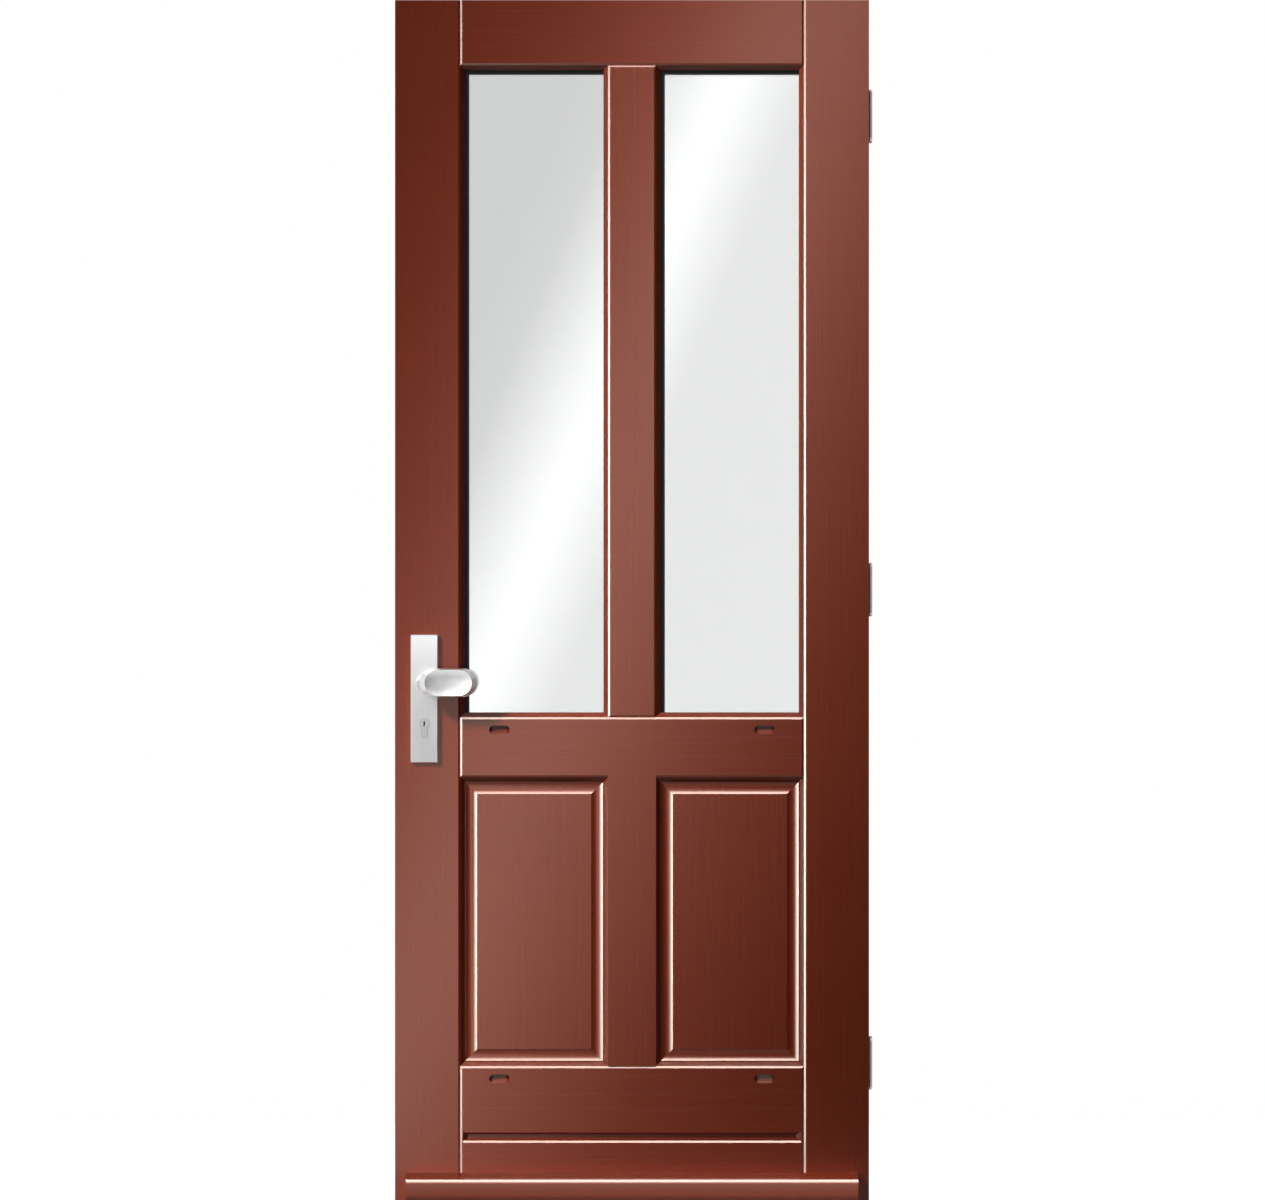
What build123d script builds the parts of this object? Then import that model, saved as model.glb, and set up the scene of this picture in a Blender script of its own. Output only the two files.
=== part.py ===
from build123d import *
import math
import os

# The leaf, as it shows on the outside face. Each width runs to the joint lines.
leaf_width = 830
leaf_height = 2115
leaf_thickness = 54
stile_width = 114
top_rail_width = 114
lock_rail_width = 105
bottom_rail_width = 248
panel_opening_height = 506
middle_bar_width = 84
edge_round = 0.6

# The moulding round every opening: an arris, a bevel, an upstand and a rebate behind it
vee_width = 3.5
vee_depth = 2.3
bevel_width = 8
bevel_depth = 9
lip_depth = 17
rebate_height = 15

# Double glazing, bedded towards the lower hinge-side corner of its rebate
tape_thickness = 3
pane_thickness = 4
spacer_thickness = 15
glazing_cover = 10
glazing_shift = 4
tape_width = 13.7
spacer_width = 9
bead_bevel = 5
bead_arris = 1.5
mitre_gap = 0.4
mitre_angle = 45

# Solid panels with a scooped groove round a flat field on both faces
panel_cover = 12
panel_gap = 1
panel_setback = 9.5
scoop_width = 21
scoop_depth = 3.8
scoop_overrun = 0.5

# Weep slots, which rise to the rebates, and the drip groove in the bottom rail
weep_length = 36
weep_height = 15
weep_inset = 69
weep_drop = 22
weep_rise = 45
weep_reach = 24
drip_level = 123
drip_height = 18
drip_depth = 10
drip_head_slope = 4
drip_foot_slope = 8
drip_end_slope = 8.75
drip_end_gap = 1

# Weatherboard across the foot of the outside face
board_length = 790
board_bottom = 11
board_height = 50.5
board_projection = 42
board_slope_rise = 8
board_nose_round = 10
board_foot_round = 14
board_drip_radius = 3
board_drip_setback = 20

# Door furniture
backset = 51.6
spindle_level = 920
cylinder_spacing = 72
plate_width = 47.5
plate_height = 223
plate_rise = 83.5
plate_corner = 1.5
plate_bevel = 1.2
quarter_turn = 90
outside_plate_thickness = 10
inside_plate_thickness = 8
knob_offset = 43
knob_length = 101
knob_height = 50
knob_face_length = 80
knob_face_height = 45
knob_projection = 52
knob_rim_level = 35
knob_waist_level = 16
knob_waist_offset = 11
knob_waist_length = 40
knob_waist_height = 30
knob_neck_length = 30
knob_neck_height = 27
knob_dish_length = 96
knob_dish_height = 54
knob_dish_depth = 6
knob_dish_reach = 24
cylinder_radius = 8.5
cylinder_web = 10
cylinder_height = 33
cylinder_proud = 2
cylinder_clearance = 0.3
plug_radius = 6.5
plug_proud = 0.6
keyway_width = 3
keyway_height = 9
keyway_depth = 6
lever_radius = 9.5
lever_projection = 48
lever_length = 90
lever_bend = 20
lever_end_round = 4
lever_rose_radius = 14
lever_rose_thickness = 6
lever_rose_round = 2

# Mortise lock in the edge of the lock stile
forend_width = 24
forend_height = 235
forend_thickness = 3
forend_inset = 0.5
forend_centre_drop = 36
case_thickness = 15
case_depth = 75
case_height = 165
case_clearance = 1
latch_width = 12
latch_height = 34
bolt_width = 13
bolt_height = 38
bolt_length = 22
bolt_clearance = 0.3

# Butt hinges. The frame-side flap is let into the jamb and the door-side flap into the leaf.
hinge_height = 89
flap_thickness = 3
flap_depth = 38
flap_corner = 6
closing_gap = 3
knuckle_radius = 6.5
knuckle_proud = 7.5
knuckle_relief = 0.75
outer_knuckle_height = 22
bearing_thickness = 2.4
bearing_clearance = 0.3
bearing_radius = 6.2
pin_radius = 4
pin_clearance = 0.1
pin_head_radius = 5.5
pin_head_height = 3
pin_head_round = 1.5
screw_radius = 2.75
screw_head_radius = 5.2
screw_head_angle = 90
screw_rows = 60
screw_columns = 20
bottom_hinge_level = 250
top_hinge_drop = 200

# Where things lie: outside towards -Y, hinges towards +X, the lowest frame-side flap at the origin
leaf_right = -(flap_thickness + closing_gap)
leaf_left = leaf_right - leaf_width
leaf_centre = (leaf_left + leaf_right) / 2
outside = -leaf_thickness / 2
inside = leaf_thickness / 2
leaf_bottom = -bottom_hinge_level
leaf_top = leaf_bottom + leaf_height

left_joint = leaf_left + stile_width
right_joint = leaf_right - stile_width
bar_left_joint = leaf_centre - middle_bar_width / 2
bar_right_joint = leaf_centre + middle_bar_width / 2
bottom_rail_joint = leaf_bottom + bottom_rail_width
lock_rail_foot_joint = bottom_rail_joint + panel_opening_height
lock_rail_top_joint = lock_rail_foot_joint + lock_rail_width
top_rail_joint = leaf_top - top_rail_width

lip_back = outside + lip_depth
sight_depth = vee_depth + bevel_depth
rebate_setback = rebate_height - bevel_width
unit_front = lip_back + tape_thickness
unit_thickness = 2 * pane_thickness + spacer_thickness
bead_seat = unit_front + unit_thickness
bead_depth = inside - bead_seat

# Sight sizes of the four openings
sight_width = bar_left_joint - left_joint - 2 * bevel_width
left_sight_centre = (left_joint + bar_left_joint) / 2
right_sight_centre = (bar_right_joint + right_joint) / 2
pane_sight_height = top_rail_joint - lock_rail_top_joint - 2 * bevel_width
pane_sight_centre = (top_rail_joint + lock_rail_top_joint) / 2
panel_sight_height = lock_rail_foot_joint - bottom_rail_joint - 2 * bevel_width
panel_sight_centre = (lock_rail_foot_joint + bottom_rail_joint) / 2

lock_axis_x = leaf_left + backset
spindle_z = leaf_bottom + spindle_level
cylinder_z = spindle_z - cylinder_spacing
plate_centre_z = spindle_z + plate_rise - plate_height / 2
forend_centre_z = spindle_z - forend_centre_drop
forend_face = leaf_left + forend_inset
outside_plate_face = outside - outside_plate_thickness
inside_plate_face = inside + inside_plate_thickness

hinge_axis_x = -flap_thickness - closing_gap / 2
hinge_axis_y = inside + knuckle_proud
flap_far_edge = inside - flap_depth
flap_near_edge = hinge_axis_y - knuckle_radius - knuckle_relief
knuckle_gap = bearing_thickness + 2 * bearing_clearance
middle_knuckle_height = hinge_height - 2 * (outer_knuckle_height + knuckle_gap)
hinge_levels = {
    "bottom": 0,
    "middle": (leaf_height - top_hinge_drop - bottom_hinge_level) / 2,
    "top": leaf_height - top_hinge_drop - bottom_hinge_level,
}

os.makedirs("parts", exist_ok=True)


def save(shape, label):
    """Names a finished piece and writes it to its own file."""
    shape.label = label
    export_step(shape, f"parts/{label}.step")


def upright(y):
    """An upright plane at a depth, with X to the right, Z up and its normal towards the outside."""
    return Plane.XZ.offset(-y)


def moulded_edge(joint, side, arris):
    """Section of a moulded edge from the outside face to the inside face, with the opening on one side."""
    sight = joint + side * bevel_width
    floor = joint - side * rebate_setback
    return [
        (joint - side * arris, outside),
        (joint, outside + vee_depth),
        (sight, outside + sight_depth),
        (sight, lip_back),
        (floor, lip_back),
        (floor, inside - vee_depth),
        (floor - side * vee_width, inside),
    ]


def square_edge(position):
    """Section of a plain outer edge, from the outside face to the inside face."""
    return [(position, outside), (position, inside)]


def bar_section(low_edge, high_edge):
    """Closed outline of a bar, up its high edge and back down its low edge."""
    return high_edge + low_edge[::-1]


def as_depth_first(points):
    """Turns section points round for a plane whose first direction is the depth."""
    return [(depth, position) for position, depth in points]


# The way for the profile cylinder through plates, stile and lock
with BuildPart() as cylinder_way:
    with BuildSketch(upright(inside_plate_face)):
        with Locations((lock_axis_x, cylinder_z)):
            Circle(cylinder_radius + cylinder_clearance)
        with Locations((lock_axis_x, cylinder_z + cylinder_radius - cylinder_height / 2)):
            SlotOverall(
                cylinder_height + 2 * cylinder_clearance,
                cylinder_web + 2 * cylinder_clearance,
                rotation=quarter_turn,
            )
    extrude(amount=inside_plate_face - outside_plate_face)

# Stiles run the full height of the leaf.
with BuildPart() as lock_stile:
    with BuildSketch(Plane.XY.offset(leaf_bottom)):
        with BuildLine():
            Polyline(bar_section(square_edge(leaf_left), moulded_edge(left_joint, 1, vee_width)), close=True)
        make_face()
    extrude(amount=leaf_height)
    fillet(lock_stile.edges().filter_by(Axis.Z).group_by(Axis.X)[0], edge_round)
    # Housing for the forend, mortise for the case and the way through for the cylinder
    with BuildSketch(Plane.YZ.offset(leaf_left)):
        with Locations((0, forend_centre_z)):
            SlotOverall(forend_height, forend_width, rotation=quarter_turn)
    extrude(amount=forend_inset + forend_thickness, mode=Mode.SUBTRACT)
    with BuildSketch(Plane.YZ.offset(leaf_left)):
        with Locations((0, forend_centre_z)):
            Rectangle(case_thickness + 2 * case_clearance, case_height + 2 * case_clearance)
    extrude(amount=forend_inset + forend_thickness + case_depth + case_clearance, mode=Mode.SUBTRACT)
    add(cylinder_way.part, mode=Mode.SUBTRACT)
save(lock_stile.part, "lock_stile")

with BuildPart() as hinge_stile:
    with BuildSketch(Plane.XY.offset(leaf_bottom)):
        with BuildLine():
            Polyline(bar_section(moulded_edge(right_joint, -1, vee_width), square_edge(leaf_right)), close=True)
        make_face()
    extrude(amount=leaf_height)
    fillet(hinge_stile.edges().filter_by(Axis.Z).group_by(Axis.X)[-1], edge_round)
    # Housings for the flaps, open to the inside face
    with BuildSketch(Plane.YZ.offset(leaf_right)):
        for level in hinge_levels.values():
            with Locations((flap_far_edge + flap_depth, level)):
                RectangleRounded(2 * flap_depth, hinge_height, flap_corner)
    extrude(amount=-flap_thickness, mode=Mode.SUBTRACT)
save(hinge_stile.part, "hinge_stile")

# Rails are scribed over the moulding of the stiles and meet them at a V joint on both faces.
rail_start = left_joint - rebate_setback
rail_length = right_joint - left_joint + 2 * rebate_setback


def joint_section(joint, face, into):
    """V-shaped section of a joint, with its point below a face and its open side as far above it."""
    tip = face + into * vee_depth
    lip = face - into * vee_depth
    return [(joint, tip), (joint + 2 * vee_width, lip), (joint - 2 * vee_width, lip)]


with BuildPart() as stile_joints:
    for end, step in ((left_joint, -1), (right_joint, 1)):
        with BuildSketch(Plane.XY.offset(leaf_bottom)):
            with BuildLine():
                Polyline(joint_section(end, outside, 1), close=True)
            make_face()
            with BuildLine():
                Polyline(joint_section(end + step * rebate_setback, inside, -1), close=True)
            make_face()
        extrude(amount=leaf_height)

# Weep slots rise inward from the outside face.
weep_slope = math.radians(weep_rise)
with BuildPart() as weep_slots:
    with BuildSketch(upright(outside)):
        for rail_top in (lock_rail_top_joint, bottom_rail_joint):
            with Locations(
                (left_joint + weep_inset, rail_top - weep_drop),
                (right_joint - weep_inset, rail_top - weep_drop),
            ):
                SlotOverall(weep_length, weep_height)
    extrude(
        amount=weep_reach / math.cos(weep_slope),
        dir=(0, math.cos(weep_slope), math.sin(weep_slope)),
    )


with BuildPart() as top_rail:
    with BuildSketch(Plane.YZ.offset(rail_start)):
        with BuildLine():
            Polyline(
                as_depth_first(bar_section(moulded_edge(top_rail_joint, -1, vee_width), square_edge(leaf_top))),
                close=True,
            )
        make_face()
    extrude(amount=rail_length)
    add(lock_stile.part, mode=Mode.SUBTRACT)
    add(hinge_stile.part, mode=Mode.SUBTRACT)
    add(stile_joints.part, mode=Mode.SUBTRACT)
save(top_rail.part, "top_rail")

with BuildPart() as lock_rail:
    with BuildSketch(Plane.YZ.offset(rail_start)):
        with BuildLine():
            Polyline(
                as_depth_first(
                    bar_section(
                        moulded_edge(lock_rail_foot_joint, -1, vee_width),
                        moulded_edge(lock_rail_top_joint, 1, vee_width),
                    )
                ),
                close=True,
            )
        make_face()
    extrude(amount=rail_length)
    add(lock_stile.part, mode=Mode.SUBTRACT)
    add(hinge_stile.part, mode=Mode.SUBTRACT)
    add(stile_joints.part, mode=Mode.SUBTRACT)
    add(weep_slots.part, mode=Mode.SUBTRACT)
save(lock_rail.part, "lock_rail")

with BuildPart() as bottom_rail:
    with BuildSketch(Plane.YZ.offset(rail_start)):
        with BuildLine():
            Polyline(
                as_depth_first(
                    bar_section(square_edge(leaf_bottom), moulded_edge(bottom_rail_joint, 1, vee_width))
                ),
                close=True,
            )
        make_face()
    extrude(amount=rail_length)
    add(lock_stile.part, mode=Mode.SUBTRACT)
    add(hinge_stile.part, mode=Mode.SUBTRACT)
    add(stile_joints.part, mode=Mode.SUBTRACT)
    add(weep_slots.part, mode=Mode.SUBTRACT)
    # The drip groove has a steep head, sloping ends and a sloping foot with an arris along its edge.
    drip_length = right_joint - left_joint - 2 * (vee_width + drip_end_gap)
    drip_head = leaf_bottom + drip_level + drip_height / 2
    drip_foot = leaf_bottom + drip_level - drip_height / 2
    # The sloping foot starts at the back of the arris. Its line, drawn on, meets the face at the mouth.
    drip_mouth = drip_foot + (vee_width * drip_depth - vee_depth * drip_foot_slope) / (drip_depth - vee_depth)
    floor_head = drip_head - drip_head_slope
    floor_foot = drip_foot + drip_foot_slope
    with BuildSketch(upright(outside)):
        with Locations((leaf_centre, (drip_head + drip_mouth) / 2)):
            Rectangle(drip_length, drip_head - drip_mouth)
    with BuildSketch(upright(outside + drip_depth)):
        with Locations((leaf_centre, (floor_head + floor_foot) / 2)):
            Rectangle(drip_length - 2 * drip_end_slope, floor_head - floor_foot)
    loft(mode=Mode.SUBTRACT)
    with BuildSketch(Plane.YZ.offset(leaf_centre - drip_length / 2)):
        with BuildLine():
            Polyline(
                [
                    (outside, drip_foot),
                    (outside + vee_depth, drip_foot + vee_width),
                    (outside, drip_foot + vee_width),
                ],
                close=True,
            )
        make_face()
    extrude(amount=drip_length, mode=Mode.SUBTRACT)
save(bottom_rail.part, "bottom_rail")

# The mullion between the panes has V joints at both ends.
mullion_start = lock_rail_top_joint - rebate_setback
mullion_length = top_rail_joint - lock_rail_top_joint + 2 * rebate_setback
with BuildPart() as glazing_mullion:
    with BuildSketch(Plane.XY.offset(mullion_start)):
        with BuildLine():
            Polyline(
                bar_section(moulded_edge(bar_left_joint, -1, vee_width), moulded_edge(bar_right_joint, 1, vee_width)),
                close=True,
            )
        make_face()
    extrude(amount=mullion_length)
    add(top_rail.part, mode=Mode.SUBTRACT)
    add(lock_rail.part, mode=Mode.SUBTRACT)
    for end, step in ((lock_rail_top_joint, -1), (top_rail_joint, 1)):
        with BuildSketch(Plane.YZ.offset(left_joint)):
            with BuildLine():
                Polyline(as_depth_first(joint_section(end, outside, 1)), close=True)
            make_face()
            with BuildLine():
                Polyline(
                    as_depth_first(joint_section(end + step * rebate_setback, inside, -1)),
                    close=True,
                )
            make_face()
        extrude(amount=right_joint - left_joint, mode=Mode.SUBTRACT)
save(glazing_mullion.part, "glazing_mullion")

# The muntin between the panels is flush with the lock rail, and its foot stands square on the bottom rail.
muntin_start = bottom_rail_joint - rebate_setback
muntin_length = lock_rail_foot_joint - bottom_rail_joint + 2 * rebate_setback
with BuildPart() as panel_muntin:
    with BuildSketch(Plane.XY.offset(muntin_start)):
        with BuildLine():
            Polyline(
                bar_section(moulded_edge(bar_left_joint, -1, 0), moulded_edge(bar_right_joint, 1, 0)),
                close=True,
            )
        make_face()
    extrude(amount=muntin_length)
    add(lock_rail.part, mode=Mode.SUBTRACT)
    add(bottom_rail.part, mode=Mode.SUBTRACT)
    with BuildSketch(Plane.YZ.offset(left_joint)):
        with Locations((outside + vee_depth / 2, bottom_rail_joint - vee_width)):
            Rectangle(vee_depth, 2 * vee_width)
        for end, step in ((bottom_rail_joint, -1), (lock_rail_foot_joint, 1)):
            with BuildLine():
                Polyline(
                    as_depth_first(joint_section(end + step * rebate_setback, inside, -1)),
                    close=True,
                )
            make_face()
    extrude(amount=right_joint - left_joint, mode=Mode.SUBTRACT)
save(panel_muntin.part, "panel_muntin")

# Panels: a rim held in the rebate, a raised front and a scooped groove round the field on both faces
scoop_radius = (scoop_width**2 / 4 + scoop_depth**2) / (2 * scoop_depth)
scoop_inset = panel_gap + scoop_width / 2 - scoop_overrun
panel_front = outside + panel_setback


def scoop_route(centre_x, depth):
    """Corners of the groove's centre line, starting halfway up its left side."""
    half_width = sight_width / 2 - scoop_inset
    half_height = panel_sight_height / 2 - scoop_inset
    return [
        (centre_x - half_width, depth, panel_sight_centre),
        (centre_x - half_width, depth, panel_sight_centre + half_height),
        (centre_x + half_width, depth, panel_sight_centre + half_height),
        (centre_x + half_width, depth, panel_sight_centre - half_height),
        (centre_x - half_width, depth, panel_sight_centre - half_height),
    ]


for name, centre_x in (("left", left_sight_centre), ("right", right_sight_centre)):
    with BuildPart() as panel:
        with BuildSketch(upright(bead_seat)):
            with Locations((centre_x, panel_sight_centre)):
                Rectangle(sight_width + 2 * panel_cover, panel_sight_height + 2 * panel_cover)
        extrude(amount=bead_seat - lip_back)
        with BuildSketch(upright(lip_back)):
            with Locations((centre_x, panel_sight_centre)):
                Rectangle(sight_width - 2 * panel_gap, panel_sight_height - 2 * panel_gap)
        extrude(amount=lip_back - panel_front)
        for depth in (panel_front + scoop_depth - scoop_radius, bead_seat - scoop_depth + scoop_radius):
            with BuildLine() as route:
                Polyline(scoop_route(centre_x, depth), close=True)
            with BuildSketch(Plane(origin=scoop_route(centre_x, depth)[0], z_dir=(0, 0, 1))):
                Circle(scoop_radius)
            sweep(path=route.wires()[0], transition=Transition.RIGHT, mode=Mode.SUBTRACT)
    save(panel.part, f"{name}_panel")

# Double glazing: two panes on a spacer frame, with a black edge tape against the lip
unit_width = sight_width + 2 * glazing_cover
unit_height = pane_sight_height + 2 * glazing_cover
unit_centre_z = pane_sight_centre - glazing_shift

for name, sight_centre in (("left", left_sight_centre), ("right", right_sight_centre)):
    unit_centre = (sight_centre + glazing_shift, unit_centre_z)

    with BuildPart() as glazing_tape:
        with BuildSketch(upright(unit_front)):
            with Locations(unit_centre):
                Rectangle(unit_width, unit_height)
                Rectangle(unit_width - 2 * tape_width, unit_height - 2 * tape_width, mode=Mode.SUBTRACT)
        extrude(amount=tape_thickness)
    save(glazing_tape.part, f"{name}_glazing_tape")

    with BuildPart() as outer_pane:
        with BuildSketch(upright(unit_front + pane_thickness)):
            with Locations(unit_centre):
                Rectangle(unit_width, unit_height)
        extrude(amount=pane_thickness)
    save(outer_pane.part, f"{name}_outer_pane")

    with BuildPart() as glass_spacer:
        with BuildSketch(upright(bead_seat - pane_thickness)):
            with Locations(unit_centre):
                Rectangle(unit_width, unit_height)
                Rectangle(unit_width - 2 * spacer_width, unit_height - 2 * spacer_width, mode=Mode.SUBTRACT)
        extrude(amount=spacer_thickness)
    save(glass_spacer.part, f"{name}_glass_spacer")

    with BuildPart() as inner_pane:
        with BuildSketch(upright(bead_seat)):
            with Locations(unit_centre):
                Rectangle(unit_width, unit_height)
        extrude(amount=pane_thickness)
    save(inner_pane.part, f"{name}_inner_pane")

# Beads on the inside, four to an opening, mitred at the corners
for name, centre, height in (
    ("left_pane_beads", (left_sight_centre, pane_sight_centre), pane_sight_height),
    ("right_pane_beads", (right_sight_centre, pane_sight_centre), pane_sight_height),
    ("left_panel_beads", (left_sight_centre, panel_sight_centre), panel_sight_height),
    ("right_panel_beads", (right_sight_centre, panel_sight_centre), panel_sight_height),
):
    with BuildPart() as beads:
        with BuildSketch(upright(inside)):
            with Locations(centre):
                Rectangle(sight_width + 2 * rebate_height, height + 2 * rebate_height)
                Rectangle(sight_width, height, mode=Mode.SUBTRACT)
        extrude(amount=bead_depth)
        room_face = beads.faces().sort_by(Axis.Y)[-1]
        chamfer(room_face.inner_wires()[0].edges(), bead_bevel)
        room_face = beads.faces().sort_by(Axis.Y)[-1]
        chamfer(room_face.outer_wire().edges(), bead_arris)
        with BuildSketch(upright(inside)):
            for side_x in (-1, 1):
                for side_z in (-1, 1):
                    corner_x = centre[0] + side_x * (sight_width + rebate_height) / 2
                    corner_z = centre[1] + side_z * (height + rebate_height) / 2
                    with Locations((corner_x, corner_z)):
                        Rectangle(2 * rebate_height, mitre_gap, rotation=mitre_angle * side_x * side_z)
        extrude(amount=bead_depth, mode=Mode.SUBTRACT)
    save(beads.part, name)

# Weatherboard: a sloping top, a rounded nose, an upright front, a rounded foot and a drip groove under it
board_front = outside - board_projection
board_foot = leaf_bottom + board_bottom
board_top = board_foot + board_height
with BuildPart() as weatherboard:
    with BuildSketch(Plane.YZ.offset(leaf_centre - board_length / 2)):
        with BuildLine():
            Polyline(
                [
                    (outside, board_top),
                    (outside, board_foot),
                    (board_front, board_foot),
                    (board_front, board_top - board_slope_rise),
                ],
                close=True,
            )
        make_face()
    extrude(amount=board_length)
    front_edges = weatherboard.edges().filter_by(Axis.X).group_by(Axis.Y)[0]
    fillet(front_edges.sort_by(Axis.Z)[-1], board_nose_round)
    foot_edges = weatherboard.edges().filter_by(Axis.X).group_by(Axis.Z)[0]
    fillet(foot_edges.sort_by(Axis.Y)[0], board_foot_round)
    with BuildSketch(Plane.YZ.offset(leaf_centre - board_length / 2)):
        with Locations((board_front + board_drip_setback, board_foot)):
            Circle(board_drip_radius)
    extrude(amount=board_length, mode=Mode.SUBTRACT)
save(weatherboard.part, "weatherboard")

# Mortise lock with its bolts drawn back flush with the forend
latch_z = spindle_z
dead_bolt_z = cylinder_z - cylinder_height + cylinder_radius
with BuildPart() as mortise_lock:
    with BuildSketch(Plane.YZ.offset(forend_face)):
        with Locations((0, forend_centre_z)):
            SlotOverall(forend_height, forend_width, rotation=quarter_turn)
    extrude(amount=forend_thickness)
    with BuildSketch(Plane.YZ.offset(forend_face + forend_thickness)):
        with Locations((0, forend_centre_z)):
            Rectangle(case_thickness, case_height)
    extrude(amount=case_depth)
    with BuildSketch(Plane.YZ.offset(forend_face)):
        with Locations((0, latch_z)):
            Rectangle(latch_width + 2 * bolt_clearance, latch_height + 2 * bolt_clearance)
        with Locations((0, dead_bolt_z)):
            Rectangle(bolt_width + 2 * bolt_clearance, bolt_height + 2 * bolt_clearance)
    extrude(amount=bolt_length, mode=Mode.SUBTRACT)
    add(cylinder_way.part, mode=Mode.SUBTRACT)
save(mortise_lock.part, "mortise_lock")

with BuildPart() as latch_bolt:
    with BuildSketch(Plane.YZ.offset(forend_face)):
        with Locations((0, latch_z)):
            Rectangle(latch_width, latch_height)
    extrude(amount=bolt_length)
save(latch_bolt.part, "latch_bolt")

with BuildPart() as dead_bolt:
    with BuildSketch(Plane.YZ.offset(forend_face)):
        with Locations((0, dead_bolt_z)):
            Rectangle(bolt_width, bolt_height)
    extrude(amount=bolt_length)
save(dead_bolt.part, "dead_bolt")

# Plates on both faces, with the profile of the cylinder let through
with BuildPart() as outside_plate:
    with BuildSketch(upright(outside)):
        with Locations((lock_axis_x, plate_centre_z)):
            RectangleRounded(plate_width, plate_height, plate_corner)
    extrude(amount=outside_plate_thickness)
    chamfer(outside_plate.faces().sort_by(Axis.Y)[0].edges(), plate_bevel)
    add(cylinder_way.part, mode=Mode.SUBTRACT)
save(outside_plate.part, "outside_plate")

with BuildPart() as inside_plate:
    with BuildSketch(upright(inside_plate_face)):
        with Locations((lock_axis_x, plate_centre_z)):
            RectangleRounded(plate_width, plate_height, plate_corner)
    extrude(amount=inside_plate_thickness)
    chamfer(inside_plate.faces().sort_by(Axis.Y)[-1].edges(), plate_bevel)
    add(cylinder_way.part, mode=Mode.SUBTRACT)
save(inside_plate.part, "inside_plate")

# Profile cylinder right through the leaf, with a keyway at both ends
cylinder_outer_end = outside_plate_face - cylinder_proud
cylinder_inner_end = inside_plate_face + cylinder_proud
with BuildPart() as lock_cylinder:
    with BuildSketch(upright(cylinder_inner_end)):
        with Locations((lock_axis_x, cylinder_z)):
            Circle(cylinder_radius)
        with Locations((lock_axis_x, cylinder_z + cylinder_radius - cylinder_height / 2)):
            SlotOverall(cylinder_height, cylinder_web, rotation=quarter_turn)
    extrude(amount=cylinder_inner_end - cylinder_outer_end)
    for end, away in ((cylinder_outer_end, 1), (cylinder_inner_end, -1)):
        with BuildSketch(upright(end)):
            with Locations((lock_axis_x, cylinder_z)):
                Circle(plug_radius)
        extrude(amount=away * plug_proud)
        with BuildSketch(upright(end - away * plug_proud)):
            with Locations((lock_axis_x, cylinder_z)):
                Rectangle(keyway_width, keyway_height)
        extrude(amount=-away * keyway_depth, mode=Mode.SUBTRACT)
save(lock_cylinder.part, "lock_cylinder")

# Fixed knob: a neck on the plate that leans across to a broad oval head with a dished face
knob_centre = (lock_axis_x + knob_offset, spindle_z)
knob_face = outside_plate_face - knob_projection
# The dish is the end of a long round form, whose section at the face is wider than the face itself.
dish_share = math.sqrt(1 - (1 - knob_dish_depth / knob_dish_reach) ** 2)
with BuildPart() as knob_dish:
    Sphere(radius=knob_dish_reach)
    scale(
        by=(
            knob_dish_length / 2 / dish_share / knob_dish_reach,
            1,
            knob_dish_height / 2 / dish_share / knob_dish_reach,
        )
    )
dish_place = Location((knob_centre[0], knob_face + knob_dish_depth - knob_dish_reach, knob_centre[1]))

with BuildPart() as outside_knob:
    with BuildSketch(upright(outside_plate_face)):
        with Locations((lock_axis_x, spindle_z)):
            SlotOverall(knob_neck_length, knob_neck_height)
    with BuildSketch(upright(outside_plate_face - knob_waist_level)):
        with Locations((lock_axis_x + knob_waist_offset, spindle_z)):
            SlotOverall(knob_waist_length, knob_waist_height)
    with BuildSketch(upright(outside_plate_face - knob_rim_level)):
        with Locations(knob_centre):
            SlotOverall(knob_length, knob_height)
    loft()
    with BuildSketch(upright(outside_plate_face - knob_rim_level)):
        with Locations(knob_centre):
            SlotOverall(knob_length, knob_height)
    with BuildSketch(upright(knob_face)):
        with Locations(knob_centre):
            SlotOverall(knob_face_length, knob_face_height)
    loft()
    add(knob_dish.part.moved(dish_place), mode=Mode.SUBTRACT)
save(outside_knob.part, "outside_knob")

# Inside lever: a rose on the plate and a round bar bent towards the middle of the leaf
with BuildPart() as inside_lever:
    with BuildSketch(upright(inside_plate_face)):
        with Locations((lock_axis_x, spindle_z)):
            Circle(lever_rose_radius)
    extrude(amount=-lever_rose_thickness)
    fillet(inside_lever.faces().sort_by(Axis.Y)[-1].edges(), lever_rose_round)
    with BuildLine() as lever_route:
        FilletPolyline(
            (lock_axis_x, inside_plate_face, spindle_z),
            (lock_axis_x, inside_plate_face + lever_projection, spindle_z),
            (lock_axis_x + lever_length, inside_plate_face + lever_projection, spindle_z),
            radius=lever_bend,
        )
    with BuildSketch(upright(inside_plate_face)):
        with Locations((lock_axis_x, spindle_z)):
            Circle(lever_radius)
    sweep(path=lever_route.wires()[0])
    fillet(inside_lever.faces().sort_by(Axis.X)[-1].edges(), lever_end_round)
save(inside_lever.part, "inside_lever")

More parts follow.
